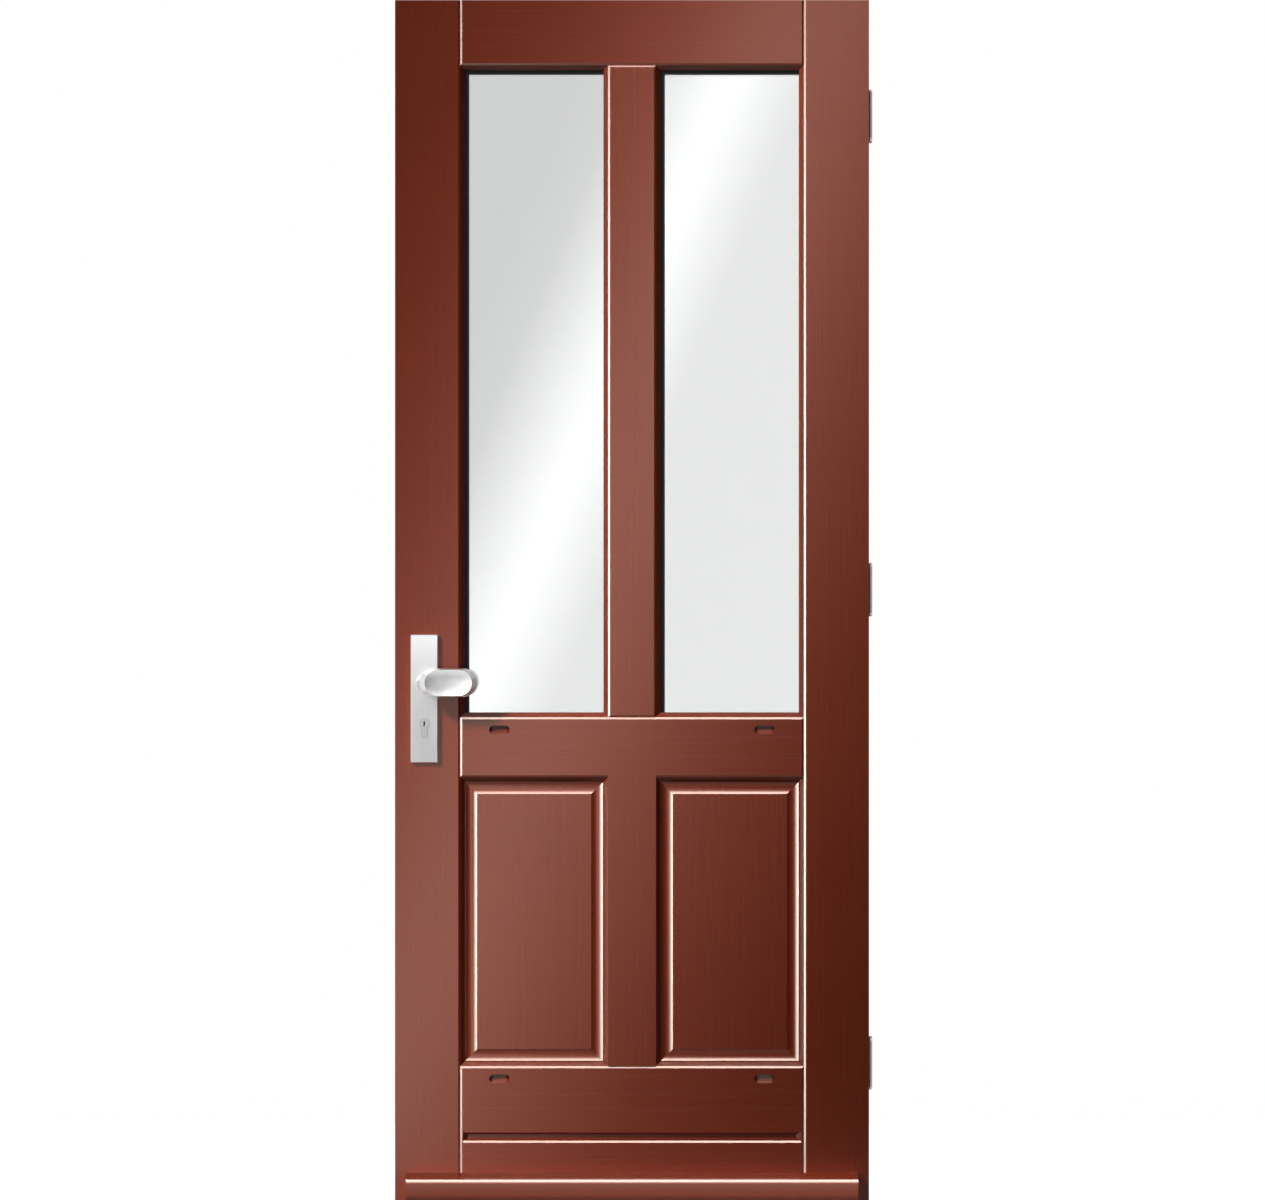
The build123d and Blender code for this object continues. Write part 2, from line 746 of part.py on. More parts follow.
# Three hinges. On each the frame-side flap carries the outer knuckles and the pin.
for name, level in hinge_levels.items():
    hinge_foot = level - hinge_height / 2
    outer_spans = (
        (hinge_foot, outer_knuckle_height),
        (hinge_foot + hinge_height - outer_knuckle_height, outer_knuckle_height),
    )
    middle_span = (level - middle_knuckle_height / 2, middle_knuckle_height)

    for side, flap_back, spans in (
        ("frame", 0, outer_spans),
        ("door", leaf_right - flap_thickness, (middle_span,)),
    ):
        inward = -1 if side == "frame" else 1
        with BuildPart() as flap:
            with BuildSketch(Plane.YZ.offset(flap_back)):
                with Locations((flap_far_edge + flap_depth, level)):
                    RectangleRounded(2 * flap_depth, hinge_height, flap_corner)
                with Locations((flap_near_edge + flap_depth, level)):
                    Rectangle(2 * flap_depth, hinge_height, mode=Mode.SUBTRACT)
            extrude(amount=inward * flap_thickness)
            for foot, height in spans:
                with BuildSketch(Plane.YZ.offset(flap_back)):
                    with Locations(((flap_near_edge + hinge_axis_y) / 2, foot + height / 2)):
                        Rectangle(hinge_axis_y - flap_near_edge, height)
                extrude(amount=inward * flap_thickness)
                with BuildSketch(Plane.XY.offset(foot)):
                    with Locations((hinge_axis_x, hinge_axis_y)):
                        Circle(knuckle_radius)
                extrude(amount=height)
                with BuildSketch(Plane.XY.offset(foot)):
                    with Locations((hinge_axis_x, hinge_axis_y)):
                        Circle(pin_radius + pin_clearance)
                extrude(amount=height, mode=Mode.SUBTRACT)
            open_face = Plane(
                origin=(flap_back + inward * flap_thickness, (flap_far_edge + inside) / 2, level),
                x_dir=(0, 1, 0),
                z_dir=(inward, 0, 0),
            )
            with Locations(open_face):
                with GridLocations(screw_columns, screw_rows, 2, 2):
                    CounterSinkHole(screw_radius, screw_head_radius, flap_thickness, screw_head_angle)
        save(flap.part, f"{name}_hinge_{side}_leaf")

    with BuildPart() as hinge_pin:
        with BuildSketch(Plane.XY.offset(hinge_foot)):
            with Locations((hinge_axis_x, hinge_axis_y)):
                Circle(pin_radius)
        extrude(amount=hinge_height)
        for end, away in ((hinge_foot, -1), (hinge_foot + hinge_height, 1)):
            with BuildSketch(Plane.XY.offset(end)):
                with Locations((hinge_axis_x, hinge_axis_y)):
                    Circle(pin_head_radius)
            extrude(amount=away * pin_head_height)
        fillet(hinge_pin.faces().sort_by(Axis.Z)[0].edges(), pin_head_round)
        fillet(hinge_pin.faces().sort_by(Axis.Z)[-1].edges(), pin_head_round)
        for foot in (
            hinge_foot + outer_knuckle_height + bearing_clearance,
            hinge_foot + hinge_height - outer_knuckle_height - bearing_clearance - bearing_thickness,
        ):
            with BuildSketch(Plane.XY.offset(foot)):
                with Locations((hinge_axis_x, hinge_axis_y)):
                    Circle(bearing_radius)
                    Circle(pin_radius + pin_clearance, mode=Mode.SUBTRACT)
            extrude(amount=bearing_thickness)
    save(hinge_pin.part, f"{name}_hinge_pin")
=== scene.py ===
import math

import bmesh
import bpy
from mathutils import Matrix, Vector


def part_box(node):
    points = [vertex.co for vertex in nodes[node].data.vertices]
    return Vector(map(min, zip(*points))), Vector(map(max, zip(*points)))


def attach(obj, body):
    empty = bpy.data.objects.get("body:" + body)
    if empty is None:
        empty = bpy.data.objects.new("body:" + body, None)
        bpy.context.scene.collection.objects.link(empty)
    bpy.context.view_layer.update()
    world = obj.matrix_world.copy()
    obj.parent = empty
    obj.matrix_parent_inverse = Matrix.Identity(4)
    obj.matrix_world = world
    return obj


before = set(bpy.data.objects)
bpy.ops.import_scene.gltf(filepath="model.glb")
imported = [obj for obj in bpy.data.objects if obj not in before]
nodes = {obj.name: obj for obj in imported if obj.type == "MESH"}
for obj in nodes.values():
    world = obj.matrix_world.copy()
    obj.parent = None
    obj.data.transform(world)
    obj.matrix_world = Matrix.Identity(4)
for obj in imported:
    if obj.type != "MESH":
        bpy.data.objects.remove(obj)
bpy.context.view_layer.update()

# Places on the leaf, in metres, read from the solids
leaf_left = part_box("lock_stile")[0].x
leaf_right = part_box("hinge_stile")[1].x
leaf_bottom, leaf_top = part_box("lock_stile")[0].z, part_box("lock_stile")[1].z
outside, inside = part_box("lock_stile")[0].y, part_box("lock_stile")[1].y
face_centre = Vector(((leaf_left + leaf_right) / 2, outside, (leaf_bottom + leaf_top) / 2))
hinge_levels = ("bottom", "middle", "top")

# The picture's frame in pixels: its size, the leaf's width and the margin at the leaf's left
picture_width, picture_height = 1265, 1200
leaf_pixels, margin_pixels = 474, 395
pixel = (leaf_right - leaf_left) / leaf_pixels
picture_left = leaf_left - margin_pixels * pixel
picture_middle = picture_left + picture_width * pixel / 2
picture_centre = Vector((picture_middle, outside, leaf_top - picture_height * pixel / 2))

# The camera's lens and sensor in millimetres, and its distance from the leaf
lens, sensor = 200.0, 36.0
camera_distance = lens * picture_width * pixel / sensor

# Direction across the diagonal sheen of the leaf: to the right and down
sheen_right, sheen_down = 0.927, 0.376


def sheen_axis(point):
    """Distance across the diagonal sheen, in picture pixels."""
    return sheen_right * (point.x - picture_left) / pixel + sheen_down * (leaf_top - point.z) / pixel


# Node helpers
def new_material(name):
    material = bpy.data.materials.new(name)
    material.use_nodes = True
    material.node_tree.nodes.clear()
    return material


class Graph:
    """Adds nodes to one tree and joins them."""

    def __init__(self, tree):
        self.tree = tree

    def node(self, kind, inputs=None, **settings):
        made = self.tree.nodes.new(kind)
        for key, value in settings.items():
            setattr(made, key, value)
        for key, value in (inputs or {}).items():
            if isinstance(value, bpy.types.NodeSocket):
                self.tree.links.new(value, made.inputs[key])
            else:
                made.inputs[key].default_value = value
        return made

    def output(self, kind, shader):
        """Joins a shader to the output of the tree."""
        self.tree.links.new(shader.outputs[0], self.node(kind).inputs[0])

    def math(self, operation, first, second):
        return self.node("ShaderNodeMath", {0: first, 1: second}, operation=operation).outputs[0]

    def noise(self, scale, detail, rough, shift=(0, 0, 0)):
        where = self.node("ShaderNodeTexCoord").outputs["Object"]
        place = self.node("ShaderNodeMapping", {"Vector": where, "Scale": scale, "Location": shift})
        inputs = {"Vector": place.outputs[0], "Scale": 1.0, "Detail": detail, "Roughness": rough}
        return self.node("ShaderNodeTexNoise", inputs).outputs["Fac"]

    def spread(self, value, low, high, start=0.3, end=0.7):
        """Turns the range from start to end into the range from low to high."""
        inputs = {"Value": value, "From Min": start, "From Max": end, "To Min": low, "To Max": high}
        return self.node("ShaderNodeMapRange", inputs).outputs[0]

    def blend(self, factor, first, second):
        """Mixes two colours."""
        return self.node("ShaderNodeMix", {0: factor, 6: first, 7: second}, data_type="RGBA").outputs[2]

    def curve(self, value, points):
        """A ramp of numbers over the given range of values."""
        low, high = points[0][0], points[-1][0]
        peak = max(level for where, level in points)
        ramp = self.node("ShaderNodeValToRGB", {"Fac": self.spread(value, 0.0, 1.0, low, high)})
        elements = ramp.color_ramp.elements
        while len(elements) < len(points):
            elements.new(0.5)
        for element, (where, level) in zip(elements, points):
            element.position = (where - low) / (high - low)
        for element, (where, level) in zip(elements, points):
            grey = level / peak
            element.color = (grey, grey, grey, 1)
        return self.math("MULTIPLY", ramp.outputs[0], peak)

    def eye_rays(self):
        """1 for rays from the camera, in reflections and through glass, and 0 for the others."""
        path = self.node("ShaderNodeLightPath").outputs
        seen = self.math("MAXIMUM", path["Is Camera Ray"], path["Is Glossy Ray"])
        return self.math("MAXIMUM", seen, path["Is Transmission Ray"])


def drawn_out(along, length, across):
    """Scale of a texture that is drawn out along one axis."""
    return tuple(length if axis == along else across for axis in "xyz")


def surface(graph, inputs, bump_height, bump_strength, bump_distance):
    """A principled surface with a bump, joined to the material's output."""
    relief = {"Height": bump_height, "Strength": bump_strength, "Distance": bump_distance}
    bump = graph.node("ShaderNodeBump", relief)
    shader = graph.node("ShaderNodeBsdfPrincipled", {**inputs, "Normal": bump.outputs[0]})
    graph.output("ShaderNodeOutputMaterial", shader)


# Materials
def paint(name, along):
    """Satin red-brown paint on wood, with the grain of the member just showing through."""
    material = new_material(name)
    graph = Graph(material.node_tree)
    dark, light, deep = (0.174, 0.0228, 0.0074, 1), (0.189, 0.0256, 0.0088, 1), (0.09, 0.012, 0.005, 1)
    grain = drawn_out(along, 12.0, 900.0)
    bands = tuple(scale / 9 for scale in grain)
    pores = graph.noise(grain, 3.0, 0.6)
    flow = graph.noise(bands, 3.0, 0.5, (3, 5, 1))
    cloud = graph.noise((4.0, 4.0, 4.0), 2.0, 0.5)
    brush = graph.noise(drawn_out(along, 2.0, 260.0), 2.0, 0.4, (7, 1, 2))
    base = graph.blend(graph.spread(cloud, 0.0, 1.0), dark, light)
    colour = graph.blend(graph.spread(pores, 0.0, 0.05, 0.55, 0.75), base, deep)
    rough = graph.math("ADD", graph.spread(flow, 0.25, 0.265), graph.spread(pores, 0.0, 0.02))
    height = graph.math("ADD", graph.math("MULTIPLY", pores, 0.5), graph.math("MULTIPLY", brush, 0.8))
    inputs = {
        "Base Color": colour,
        "Roughness": rough,
        "Specular IOR Level": 0.22,
        "Specular Tint": (1.0, 0.93, 0.80, 1),
        "Coat Weight": 0.1,
        "Coat Roughness": 0.12,
        "Coat IOR": 1.5,
    }
    surface(graph, inputs, height, 0.012, 0.0002)
    return material


def metal(name, colour, rough, along, grain=1500.0, length=25.0):
    """Satin metal, brushed along one direction and a little uneven."""
    material = new_material(name)
    graph = Graph(material.node_tree)
    lines = graph.noise(drawn_out(along, length, grain), 2.0, 0.5)
    cloud = graph.noise((40.0, 40.0, 40.0), 3.0, 0.5)
    darker = tuple(v * 0.93 for v in colour) + (1,)
    tint = graph.blend(graph.spread(lines, 0.0, 1.0), darker, colour + (1,))
    patches = graph.spread(cloud, rough - 0.03, rough + 0.03)
    level = graph.math("ADD", patches, graph.spread(lines, -0.03, 0.03))
    surface(graph, {"Base Color": tint, "Metallic": 1.0, "Roughness": level}, lines, 0.05, 0.0002)
    return material


def dull(name, colour, rough, scale):
    """Matt rubber, sealant or steel with a fine skin. Used near black, it also serves as painted shade in
    the rebates and keyways.
    """
    material = new_material(name)
    graph = Graph(material.node_tree)
    skin = graph.noise((scale, scale, scale), 4.0, 0.6)
    cloud = graph.noise((9.0, 9.0, 9.0), 2.0, 0.5)
    darker = tuple(v * 0.7 for v in colour) + (1,)
    tint = graph.blend(graph.spread(cloud, 0.0, 1.0), darker, colour + (1,))
    level = graph.spread(skin, rough - 0.06, rough + 0.06)
    surface(graph, {"Base Color": tint, "Roughness": level}, skin, 0.15, 0.0003)
    return material


def glass(name, colour):
    """Lightly tinted float glass, with the faint waviness of a sealed unit. Lamps shine through it."""
    material = new_material(name)
    graph = Graph(material.node_tree)
    wave = graph.noise((2.2, 2.2, 1.4), 1.0, 0.4)
    film = graph.noise((30.0, 30.0, 30.0), 3.0, 0.5)
    bump = graph.node("ShaderNodeBump", {"Height": wave, "Strength": 0.02, "Distance": 0.0005})
    inputs = {
        "Base Color": colour,
        "Roughness": graph.spread(film, 0.0, 0.004),
        "IOR": 1.5,
        "Transmission Weight": 1.0,
        "Normal": bump.outputs[0],
    }
    pane = graph.node("ShaderNodeBsdfPrincipled", inputs)
    clear = graph.node("ShaderNodeBsdfTransparent", {"Color": colour})
    shadow = graph.node("ShaderNodeLightPath").outputs["Is Shadow Ray"]
    mix = graph.node("ShaderNodeMixShader", {0: shadow, 1: pane.outputs[0], 2: clear.outputs[0]})
    graph.output("ShaderNodeOutputMaterial", mix)
    return material


paint_upright = paint("paint_upright", "z")
paint_across = paint("paint_across", "x")
pane_glass = glass("pane_glass", (0.80, 0.804, 0.804, 1))
# Tape and spacer are real near-black parts. Where they show along the top and left of each pane, their black
# also stands in for painted shade in the rebate
black_seal_and_shade = dull("black_seal_and_shade", (0.011, 0.012, 0.011), 0.55, 900.0)
spacer_bar_and_shade = dull("spacer_bar_and_shade", (0.02, 0.021, 0.02), 0.5, 500.0)
satin_upright = metal("satin_upright", (0.80, 0.80, 0.80), 0.34, "z")
satin_across = metal("satin_across", (0.80, 0.80, 0.80), 0.38, "x")
satin_nickel = metal("satin_nickel", (0.72, 0.72, 0.715), 0.33, "y", 900.0, 60.0)
lock_steel = metal("lock_steel", (0.62, 0.62, 0.62), 0.36, "z")
# Near-black steel for the wards, mostly painted shade standing in for the dark inside of the keyways
wards_steel_and_shade = dull("wards_steel_and_shade", (0.018, 0.018, 0.018), 0.5, 1200.0)
hinge_steel = metal("hinge_steel", (0.60, 0.60, 0.61), 0.32, "z")

finishes = {
    paint_upright: [
        "lock_stile", "hinge_stile", "glazing_mullion", "panel_muntin", "left_panel", "right_panel",
        "left_pane_beads", "right_pane_beads", "left_panel_beads", "right_panel_beads",
    ],
    paint_across: ["top_rail", "lock_rail", "bottom_rail", "weatherboard"],
    pane_glass: ["left_outer_pane", "right_outer_pane", "left_inner_pane", "right_inner_pane"],
    black_seal_and_shade: ["left_glazing_tape", "right_glazing_tape"],
    spacer_bar_and_shade: ["left_glass_spacer", "right_glass_spacer"],
    satin_upright: ["outside_plate", "inside_plate"],
    satin_across: ["outside_knob", "inside_lever"],
    satin_nickel: ["lock_cylinder"],
    lock_steel: ["mortise_lock", "latch_bolt", "dead_bolt"],
    hinge_steel: [
        f"{level}_hinge_{part}" for level in hinge_levels for part in ("frame_leaf", "door_leaf", "pin")
    ],
}

for material, names in finishes.items():
    for name in names:
        piece = nodes[name]
        if not piece.material_slots:
            piece.data.materials.append(material)
        for slot in piece.material_slots:
            slot.material = material


# Small pieces on the leaf
def fit_piece(name, bm, centre, facing, material):
    """Makes a piece from a mesh, turns its top to the facing side and lets it ride on the leaf."""
    mesh = bpy.data.meshes.new(name)
    bm.to_mesh(mesh)
    bm.free()
    piece = bpy.data.objects.new(name, mesh)
    bpy.context.scene.collection.objects.link(piece)
    turn = facing.to_track_quat("Z", "Y").to_matrix().to_4x4()
    piece.matrix_world = Matrix.Translation(centre) @ turn
    piece.data.materials.append(material)
    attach(piece, "leaf")


def cross_reach(x, y, arm, half_slot):
    """How far a cross of two bars reaches in the direction x, y."""
    tiny = 1e-6
    wide = min(arm / max(abs(x), tiny), half_slot / max(abs(y), tiny))
    tall = min(arm / max(abs(y), tiny), half_slot / max(abs(x), tiny))
    return max(wide, tall)


def fit_screw(name, centre, facing, radius, depth, material, slot):
    """A countersunk head whose flat face lies at the centre, with a cross-shaped recess."""
    steps = 32
    # Shares of the head's radius and depth, from the foot of the cone to the face
    outline = ((0.55, -1.0), (0.96, -0.12), (1.0, 0.0), (0.93, 0.04))
    face_height, recess_foot, recess_taper = depth * 0.04, -depth * 0.55, 0.8
    arm, half_slot = radius * 0.62, radius * 0.13
    directions = [(math.cos(a), math.sin(a)) for a in (2 * math.pi * i / steps for i in range(steps))]
    bm = bmesh.new()
    rings = []
    for share, rise in outline:
        reach = radius * share
        rings.append([bm.verts.new((reach * x, reach * y, depth * rise)) for x, y in directions])
    cross = []
    for x, y in directions:
        reach = cross_reach(x, y, arm, half_slot)
        cross.append((x * reach, y * reach))
    for taper, height in ((1.0, face_height), (recess_taper, recess_foot)):
        rings.append([bm.verts.new((x * taper, y * taper, height)) for x, y in cross])
    for low, high in zip(rings, rings[1:]):
        for i in range(steps):
            j = (i + 1) % steps
            bm.faces.new((low[i], low[j], high[j], high[i]))
    bm.faces.new(rings[0][::-1])
    bm.faces.new(rings[-1])
    fit_piece(name, bm, centre, facing, material)


# Four screws in the door side of each hinge, a little below its face
hinge_rows, hinge_columns, hinge_sink = (-0.03, 0.03), (-0.01, 0.01), 0.0003
hinge_head_radius, hinge_head_depth = 0.0049, 0.0024
for level in hinge_levels:
    low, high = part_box(f"{level}_hinge_door_leaf")
    height = (low.z + high.z) / 2
    across = (low.y + inside) / 2
    spots = [(row, column) for row in hinge_rows for column in hinge_columns]
    for count, (row, column) in enumerate(spots, 1):
        centre = Vector((leaf_right - hinge_sink, across + column, height + row))
        name = f"{level}_hinge_screw_{count}"
        size = (hinge_head_radius, hinge_head_depth)
        fit_screw(name, centre, Vector((1, 0, 0)), *size, hinge_steel, "hinge_steel")

# Two screws in the lock's forend and two in the inside plate, a little proud of the face
screw_proud = 0.0001
forend_margin, forend_head_radius, forend_head_depth = 0.012, 0.004, 0.002
low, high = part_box("mortise_lock")
for count, height in enumerate((low.z + forend_margin, high.z - forend_margin)):
    centre = Vector((low.x - screw_proud, 0, height))
    size = (forend_head_radius, forend_head_depth)
    fit_screw(f"forend_screw_{count}", centre, Vector((-1, 0, 0)), *size, lock_steel, "lock_steel")

plate_margin, plate_head_radius, plate_head_depth = 0.016, 0.0042, 0.002
low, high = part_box("inside_plate")
for count, height in enumerate((low.z + plate_margin, high.z - plate_margin)):
    centre = Vector(((low.x + high.x) / 2, high.y + screw_proud, height))
    size = (plate_head_radius, plate_head_depth)
    fit_screw(f"plate_screw_{count}", centre, Vector((0, 1, 0)), *size, satin_nickel, "furniture")


# Wards a little way inside the keyways, near black: painted shade that keeps the keyways dark
def wards(name, centre, facing, width, height, depth):
    """A block with a stepped profile, as the wards of a keyway have."""
    profile = [
        (-0.5, -0.5), (0.1, -0.5), (0.1, -0.3), (0.5, -0.18), (0.5, 0.05),
        (0.2, 0.14), (0.5, 0.26), (0.5, 0.5), (-0.3, 0.5), (-0.5, 0.3),
    ]
    bm = bmesh.new()
    near = [bm.verts.new((x * width, y * height, 0)) for x, y in profile]
    far = [bm.verts.new((x * width, y * height, -depth)) for x, y in profile]
    bm.faces.new(near)
    bm.faces.new(far[::-1])
    for i in range(len(profile)):
        j = (i + 1) % len(profile)
        bm.faces.new((far[i], far[j], near[j], near[i]))
    fit_piece(name, bm, centre, facing, wards_steel_and_shade)


plug_drop, wards_sink = 0.0085, 0.0008
wards_width, wards_height, wards_depth = 0.0029, 0.0088, 0.004
low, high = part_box("lock_cylinder")
for name, y, step in (("outside_wards", low.y, 1), ("inside_wards", high.y, -1)):
    centre = Vector(((low.x + high.x) / 2, y + step * wards_sink, high.z - plug_drop))
    wards(name, centre, Vector((0, -step, 0)), wards_width, wards_height, wards_depth)


# Floor: pale and plain, white to the eye where it is open, with the leaf's shadow on it
def plain_plane(name, centre, width, depth):
    mesh = bpy.data.meshes.new(name)
    half_x, half_y = width / 2, depth / 2
    corners = [(-half_x, -half_y, 0), (half_x, -half_y, 0), (half_x, half_y, 0), (-half_x, half_y, 0)]
    mesh.from_pydata(corners, [], [(0, 1, 2, 3)])
    plane = bpy.data.objects.new(name, mesh)
    plane.location = centre
    bpy.context.scene.collection.objects.link(plane)
    return plane


floor_width, floor_depth, floor_middle, floor_drop = 6.0, 2.9, 0.6, 0.008
floor_centre = (face_centre.x, floor_middle, leaf_bottom - floor_drop)
floor = plain_plane("floor", floor_centre, floor_width, floor_depth)
floor_pale = new_material("floor_pale")
graph = Graph(floor_pale.node_tree)
matt = graph.node("ShaderNodeBsdfDiffuse", {"Color": (0.85, 0.85, 0.85, 1)})
glow = graph.node("ShaderNodeEmission", {"Strength": graph.math("MULTIPLY", graph.eye_rays(), 0.72)})
both = graph.node("ShaderNodeAddShader", {0: matt.outputs[0], 1: glow.outputs[0]})
graph.output("ShaderNodeOutputMaterial", both)
floor.data.materials.append(floor_pale)
floor.visible_diffuse = False

# Black flags behind the camera and at the right, seen only in reflections, so that the paint keeps its depth
flag_black = new_material("flag_black")
graph = Graph(flag_black.node_tree)
cloth = graph.node("ShaderNodeBsdfDiffuse", {"Color": (0.01, 0.01, 0.01, 1)})
graph.output("ShaderNodeOutputMaterial", cloth)
for name, centre, turn, size in (
    ("flag_front", (face_centre.x + 4.0, -17.0, face_centre.z), (90, 0, 0), (24.0, 16.0)),
    ("flag_right", (face_centre.x + 7.0, -5.4, face_centre.z), (90, 0, 90), (23.0, 6.0)),
):
    flag = plain_plane(name, centre, *size)
    flag.rotation_euler = [math.radians(angle) for angle in turn]
    flag.data.materials.append(flag_black)
    for ray in ("camera", "diffuse", "transmission", "volume_scatter", "shadow"):
        setattr(flag, f"visible_{ray}", False)

# World: white to the eye, in reflections and through the glass, and a low even light otherwise
world = bpy.data.worlds.new("studio")
bpy.context.scene.world = world
world.use_nodes = True
world.node_tree.nodes.clear()
graph = Graph(world.node_tree)
world_level = graph.spread(graph.eye_rays(), 0.07, 1.0, 0.0, 1.0)
white = graph.node("ShaderNodeBackground", {"Color": (1, 1, 1, 1), "Strength": world_level})
graph.output("ShaderNodeOutputWorld", white)


# Lamp helpers
def lamp(name, place, target, width, height, power, rays):
    """A rectangular lamp that lights only the given kinds of rays."""
    data = bpy.data.lights.new(name, "AREA")
    data.shape = "RECTANGLE"
    data.size, data.size_y = width, height
    data.energy = power
    made = bpy.data.objects.new(name, data)
    bpy.context.scene.collection.objects.link(made)
    made.location = place
    made.rotation_mode = "QUATERNION"
    made.rotation_quaternion = (Vector(target) - Vector(place)).to_track_quat("-Z", "Y")
    for ray in ("camera", "diffuse", "glossy", "transmission"):
        setattr(made, f"visible_{ray}", ray in rays)
    bpy.context.view_layer.update()
    return made


def radiance(level, width, height):
    """Power of a lamp whose face has the given brightness."""
    return level * 4 * width * height


def mirrored_lamp(name, place, target, width, height, level):
    """A lamp seen only in reflections. The level is the brightness of its face."""
    return lamp(name, place, target, width, height, radiance(level, width, height), ("glossy",))


def receivers(made, pieces, state):
    """Makes a lamp shine on the given pieces only, or on all but them."""
    group = bpy.data.collections.new(made.name + "_receivers")
    for piece in pieces:
        group.objects.link(piece)
    for link in group.collection_objects:
        link.light_linking.link_state = state
    made.light_linking.receiver_collection = group


def shine_only_on(made, names):
    receivers(made, [nodes[name] for name in names], "INCLUDE")


def painted_but(*left_out):
    """Names of the painted pieces without those left out."""
    names = finishes[paint_upright] + finishes[paint_across]
    return [name for name in names if name not in left_out]


def from_left(degrees, distance):
    """The step from the face to a place at the left front."""
    angle = math.radians(degrees)
    return Vector((-math.sin(angle), -math.cos(angle), 0)) * distance


def from_above(degrees, distance):
    """The step from the face to a place above and in front."""
    angle = math.radians(degrees)
    return Vector((0, -math.cos(angle), math.sin(angle))) * distance


def lamp_places(made):
    """Gives a lamp nodes of its own, and the place across and along its face."""
    made.data.use_nodes = True
    made.data.node_tree.nodes.clear()
    graph = Graph(made.data.node_tree)
    face = graph.node("ShaderNodeNewGeometry").outputs["Parametric"]
    return graph, graph.node("ShaderNodeSeparateXYZ", {0: face}).outputs


def glow_by(graph, axis, points):
    """Makes a lamp's brightness follow a value."""
    inputs = {"Color": (1, 1, 1, 1), "Strength": graph.curve(axis, points)}
    graph.output("ShaderNodeOutputLight", graph.node("ShaderNodeEmission", inputs))


def diagonal(made, door_point, points):
    """Makes a lamp follow the diagonal sheen. door_point gives the leaf point of a lamp point."""
    graph, where = lamp_places(made)
    start = sheen_axis(door_point(0, 0))
    along_u = sheen_axis(door_point(1, 0)) - start
    along_v = sheen_axis(door_point(0, 1)) - start
    part_u = graph.math("MULTIPLY", where[0], along_u)
    part_v = graph.math("MULTIPLY", where[1], along_v)
    glow_by(graph, graph.math("ADD", graph.math("ADD", part_u, part_v), start), points)


# Key light from the upper left: a gridded soft box with a graded cloth
key_direction = Vector((-0.55, -0.62, 0.56)).normalized()
key_size, key_distance, key_power, key_spread = 3.4, 2.6, 51.0, 12
key_place = face_centre + key_direction * key_distance
key = lamp("key", key_place, face_centre, key_size, key_size, key_power, ("diffuse", "glossy"))
key.data.spread = math.radians(key_spread)
key_turn = key.matrix_world.copy()
key_grade = [
    (250, 0.40), (366, 0.48), (560, 0.80), (700, 1.0), (780, 1.0),
    (900, 0.80), (1030, 0.58), (1150, 0.38), (1300, 0.18),
]


def key_on_door(u, v):
    point = key_turn @ Vector(((u - 0.5) * key_size, (v - 0.5) * key_size, 0))
    along = key_direction * ((outside - point.y) / key_direction.y)
    return point + along


diagonal(key, key_on_door, key_grade)
receivers(key, [floor, nodes["weatherboard"]], "EXCLUDE")


# Cards before the leaf, seen only in reflections: graded for the paint and the glass, even for the metal
def card_lamp(name, distance, width, height, level, names):
    place = Vector((picture_centre.x, outside - distance, picture_centre.z))
    power = radiance(level, width, height)
    made = lamp(name, place, picture_centre, width, height, power, ("glossy", "transmission"))
    shine_only_on(made, names)
    return made


def graded_card(name, distance, width, height, points, names):
    made = card_lamp(name, distance, width, height, 1.0, names)
    turn = made.matrix_world.copy()

    def on_door(u, v):
        point = turn @ Vector(((u - 0.5) * width, (v - 0.5) * height, 0))
        return picture_centre + (point - picture_centre) * camera_distance / (camera_distance + distance)

    diagonal(made, on_door, points)


paint_sheen = [
    (250, 0.0), (500, 0.2), (640, 1.4), (735, 4.1), (790, 3.8),
    (880, 1.7), (1000, 0.3), (1120, 0.0), (1400, 0.0),
]
glass_sheen = [
    (250, 0.1), (560, 0.1), (610, 0.35), (690, 2.7),
    (712, 2.9), (780, 1.3), (960, 1.4), (1300, 1.5),
]
metals = (satin_upright, satin_across, satin_nickel, lock_steel, hinge_steel)
metal_names = [name for finish in metals for name in finishes[finish]]
near_card, far_card, far_size, metal_level = 0.9, 16.0, 9.0, 0.52
near_width, near_height = 3.0, 2.5
graded_card("paint_card", near_card, near_width, near_height, paint_sheen, painted_but("weatherboard"))
graded_card("glass_card", far_card, far_size, far_size, glass_sheen, finishes[pane_glass])
card_lamp("metal_card", far_card, far_size, far_size, metal_level, metal_names)

# Small card before the top of the outside plate
plate_size, plate_gap, plate_rise, plate_level = 0.4, 0.45, 0.16, 0.7
low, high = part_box("outside_plate")
plate_target = Vector(((low.x + high.x) / 2, outside, high.z + plate_rise))
plate_place = plate_target - Vector((0, plate_gap, 0))
plate_card = mirrored_lamp("plate_card", plate_place, plate_target, plate_size, plate_size, plate_level)
shine_only_on(plate_card, ["outside_plate", "lock_cylinder"])

# Card at the left front, which brightens the right end of the knob's dish
knob_degrees, knob_distance, knob_size, knob_level = 28, 6.5, 2.2, 1.45
knob_place = face_centre + from_left(knob_degrees, knob_distance)
knob_card = mirrored_lamp("knob_card", knob_place, face_centre, knob_size, knob_size, knob_level)
shine_only_on(knob_card, ["outside_knob"])

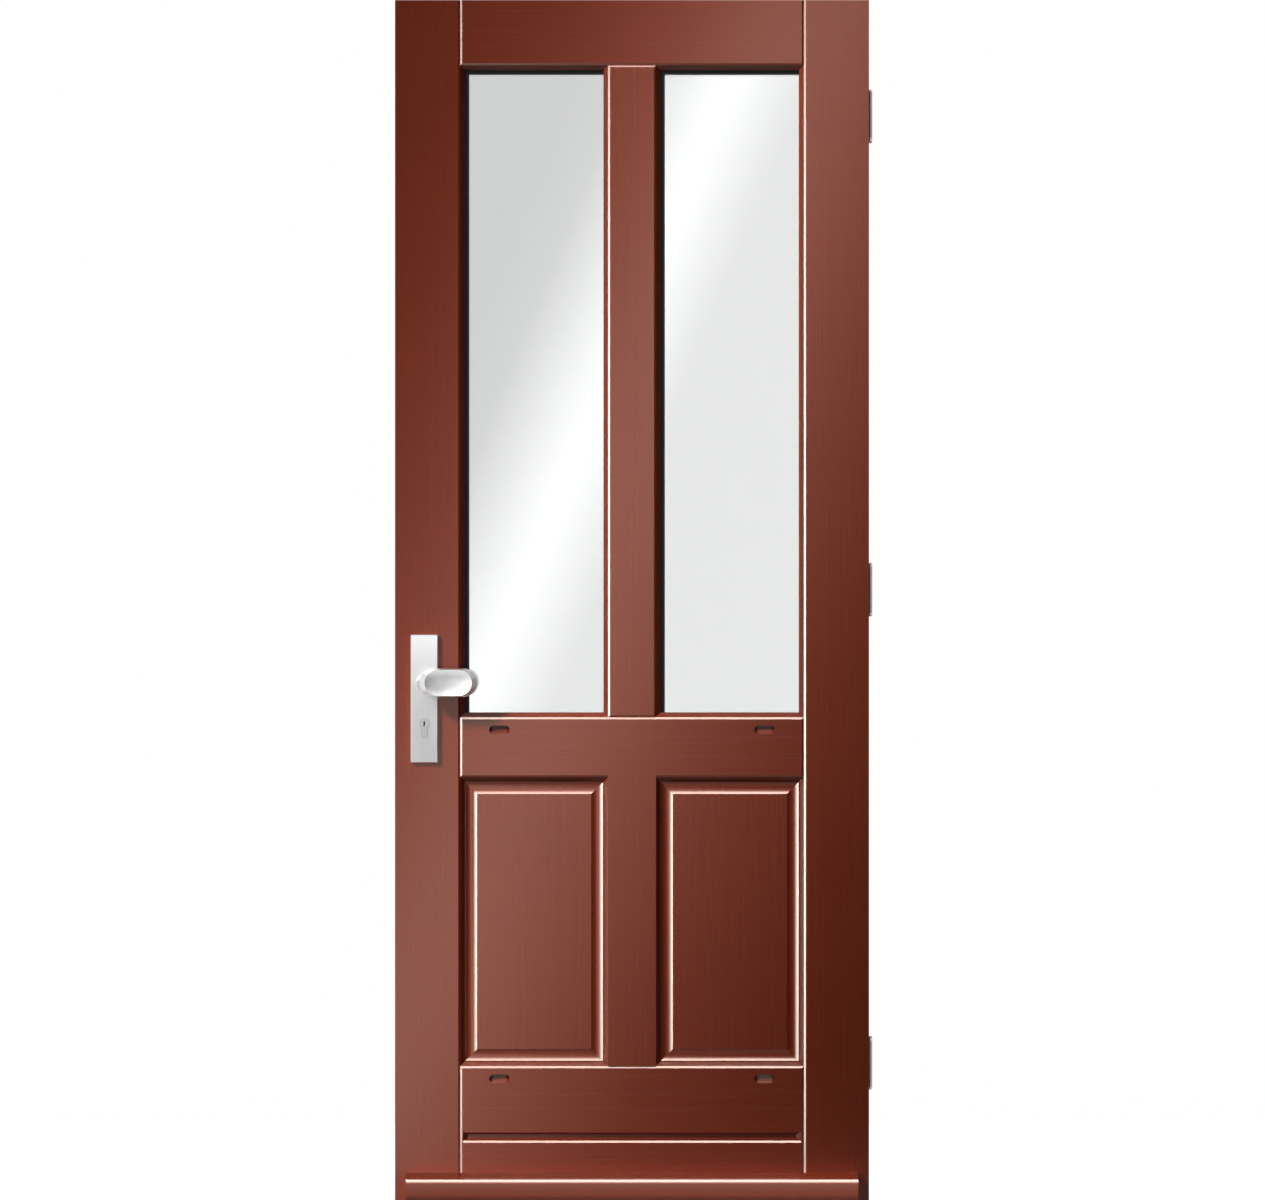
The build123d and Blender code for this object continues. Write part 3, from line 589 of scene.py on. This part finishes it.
# Strips at the left and overhead, dimmer towards the front, which draw bright lines along the arrises
strip_degrees = 53
left_distance, left_width, left_height = 20.0, 14.8, 4.8
top_distance, top_width, top_height = 6.5, 3.6, 4.8
left_place = face_centre + from_left(strip_degrees, left_distance)
top_place = face_centre + from_above(strip_degrees, top_distance)
left_strip = mirrored_lamp("left_strip", left_place, face_centre, left_width, left_height, 1.0)
top_strip = mirrored_lamp("top_strip", top_place, face_centre, top_width, top_height, 1.0)
for made, side, points in (
    (left_strip, 0, [(0.0, 62.0), (0.3, 56.0), (0.6, 38.0), (0.8, 26.0), (1.0, 8.0)]),
    (top_strip, 1, [(0.0, 6.0), (0.2, 17.0), (0.4, 25.0), (0.7, 32.0), (1.0, 34.0)]),
):
    graph, where = lamp_places(made)
    glow_by(graph, where[side], points)
    made.data.use_shadow = False
shine_only_on(left_strip, painted_but("lock_stile"))
shine_only_on(top_strip, painted_but("lock_stile", "hinge_stile", "top_rail"))

# Soft box, strip and near card for the weatherboard, which light it evenly along its whole length
box_step, box_width, box_height, box_power = Vector((0, -1.8, 1.4)), 2.4, 1.5, 50.0
nose_degrees, nose_distance, nose_width, nose_height, nose_level = 58, 2.2, 3.4, 3.2, 15.0
card_width, card_height, card_rise, card_gap, card_level = 1.6, 0.4, 0.016, 0.14, 2.8
low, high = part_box("weatherboard")
board_centre = (low + high) / 2
box_place = board_centre + box_step
nose_place = board_centre + from_above(nose_degrees, nose_distance)
card_place = Vector((board_centre.x, low.y - card_gap, low.z + card_rise + card_height / 2))
card_target = card_place + Vector((0, card_gap, 0))
board_lamps = [
    lamp("board_box", box_place, board_centre, box_width, box_height, box_power, ("diffuse",)),
    mirrored_lamp("board_strip", nose_place, board_centre, nose_width, nose_height, nose_level),
    mirrored_lamp("board_card", card_place, card_target, card_width, card_height, card_level),
]
for made in board_lamps:
    shine_only_on(made, ["weatherboard"])

# Soft light from above for the floor, and fills for the inside and the hinge edge
overhead_place, overhead_target = (face_centre.x, -0.4, 8.7), (face_centre.x, 0, 0)
inside_place, inside_target = (-2.3, 3.2, 2.4), (face_centre.x, inside, face_centre.z)
edge_place, edge_target = (5.0, 0.3, 1.4), (leaf_right, 0, face_centre.z)
overhead_size, overhead_power = (3.0, 3.0), 350.0
inside_size, inside_power = (2.0, 2.0), 150.0
edge_size, edge_power = (1.0, 2.0), 120.0
overhead = lamp("overhead", overhead_place, overhead_target, *overhead_size, overhead_power, ("diffuse",))
inside_fill = lamp("inside_fill", inside_place, inside_target, *inside_size, inside_power, ("diffuse",))
edge_fill = lamp("edge_fill", edge_place, edge_target, *edge_size, edge_power, ("diffuse",))
receivers(overhead, [floor], "INCLUDE")
for made in (inside_fill, edge_fill):
    receivers(made, [floor], "EXCLUDE")

# Camera: straight on, as far back as a flat elevation needs
camera_data = bpy.data.cameras.new("camera")
camera_data.lens = lens
camera_data.sensor_width = sensor
camera_data.clip_end = 100
camera = bpy.data.objects.new("camera", camera_data)
bpy.context.scene.collection.objects.link(camera)
camera.location = picture_centre - Vector((0, camera_distance, 0))
camera.rotation_euler = (math.radians(90), 0, 0)
bpy.context.scene.camera = camera
bpy.context.scene.view_settings.view_transform = "Standard"
